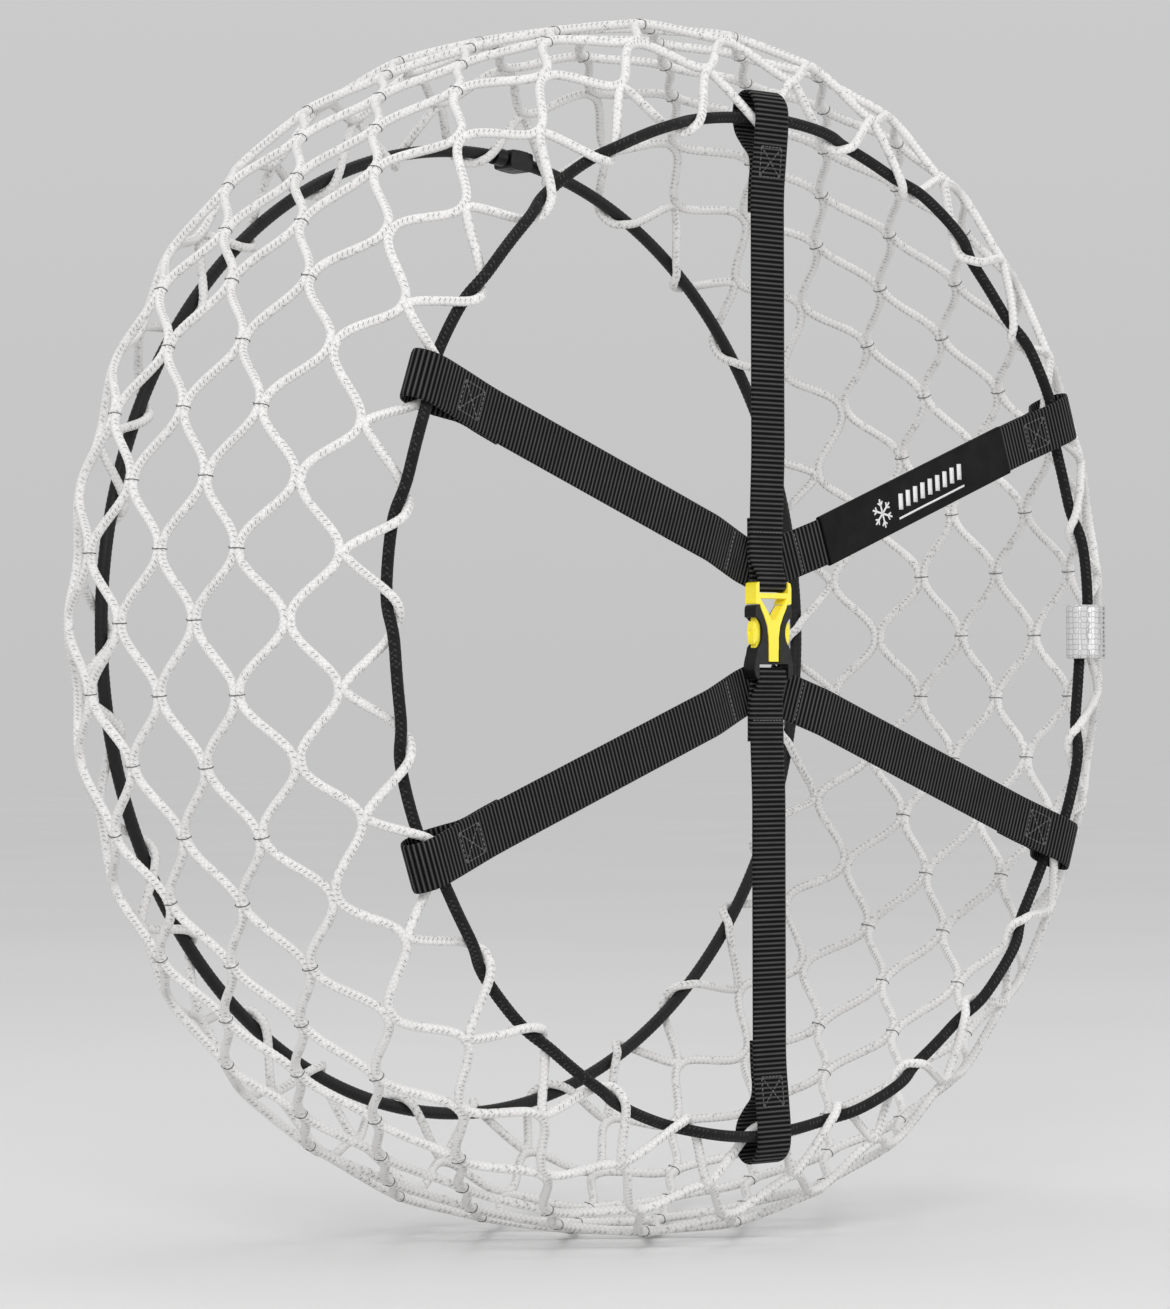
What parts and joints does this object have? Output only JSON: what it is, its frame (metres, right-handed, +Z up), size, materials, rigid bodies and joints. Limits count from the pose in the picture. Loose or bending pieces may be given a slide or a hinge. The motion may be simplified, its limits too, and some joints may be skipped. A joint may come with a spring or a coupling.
{
  "type": "rope snow chain",
  "caption": "Rope-net snow chain in its fitted shape, with an elastic outer ring, webbing straps, a side-release buckle at the hub and a split hoop on the inner side.",
  "frame": {"origin": "centre of the wheel that the net is shaped for: on the wheel's axis, in the middle plane of the tread", "axes": "+Y along the wheel's axis towards the car, so -Y is the outer face with the straps and the buckle; +Z up, from the buckle to the top strap; +X to the right when looking at the outer face"},
  "size_m": [0.646, 0.2372, 0.646],
  "materials": {
    "white_rope": "braided, matte",
    "black_cord": "braided, matte",
    "black_webbing": "ribbed webbing",
    "label_cloth": "smooth, satin",
    "reflective_cloth": "reflective, satin",
    "black_plastic": "moulded, satin",
    "yellow_plastic": "moulded, satin",
    "hoop_plastic": "extruded, satin",
    "steel": "drawn wire"
  },
  "bodies": {
    "chain": {"net_rope_1": "white_rope", "net_rope_2": "white_rope", "net_rope_3": "white_rope", "net_rope_4": "white_rope", "net_rope_5": "white_rope", "net_rope_6": "white_rope", "net_rope_7": "white_rope", "net_rope_8": "white_rope", "outer_edge_rope": "white_rope", "inner_edge_rope": "white_rope", "elastic_ring": "black_cord", "hoop_sleeve": "hoop_plastic", "hoop_core": "steel", "hoop_socket": "black_plastic", "hoop_plug": "black_plastic", "hoop_button_spring": "steel", "strap_top": "black_webbing", "strap_upper_right": "black_webbing", "strap_lower_right": "black_webbing", "strap_bottom": "black_webbing", "strap_lower_left": "black_webbing", "strap_upper_left": "black_webbing", "label_sleeve": "label_cloth", "reflective_label": "reflective_cloth", "buckle_socket": "black_plastic"},
    "plug": {"buckle_plug": "yellow_plastic"},
    "arm_left": {"plug_arm_left": "yellow_plastic"},
    "arm_right": {"plug_arm_right": "yellow_plastic"},
    "button": {"hoop_button": "yellow_plastic"}
  },
  "joints": [
    {"name": "buckle_release", "type": "slide", "parent": "chain", "child": "plug", "axis": [0, 0, 1], "range_m": [0, 0.028], "deforming": ["strap_top", "strap_upper_left", "strap_upper_right", "label_sleeve", "plug_arm_left", "plug_arm_right"]},
    {"name": "arm_left_press", "type": "hinge", "parent": "plug", "child": "arm_left", "pos_m": [-0.0099, -0.1133, 0.012], "axis": [0, -1, 0], "range_deg": [0, 10], "stiffness_Nm_per_rad": 0.5},
    {"name": "arm_right_press", "type": "hinge", "parent": "plug", "child": "arm_right", "pos_m": [0.0099, -0.1133, 0.012], "axis": [0, 1, 0], "range_deg": [0, 10], "stiffness_Nm_per_rad": 0.5},
    {"name": "hoop_button_press", "type": "slide", "parent": "chain", "child": "button", "axis": [0, -1, 0], "range_m": [0, 0.0015], "stiffness_N_per_m": 800, "deforming": ["hoop_button_spring"]}
  ]
}
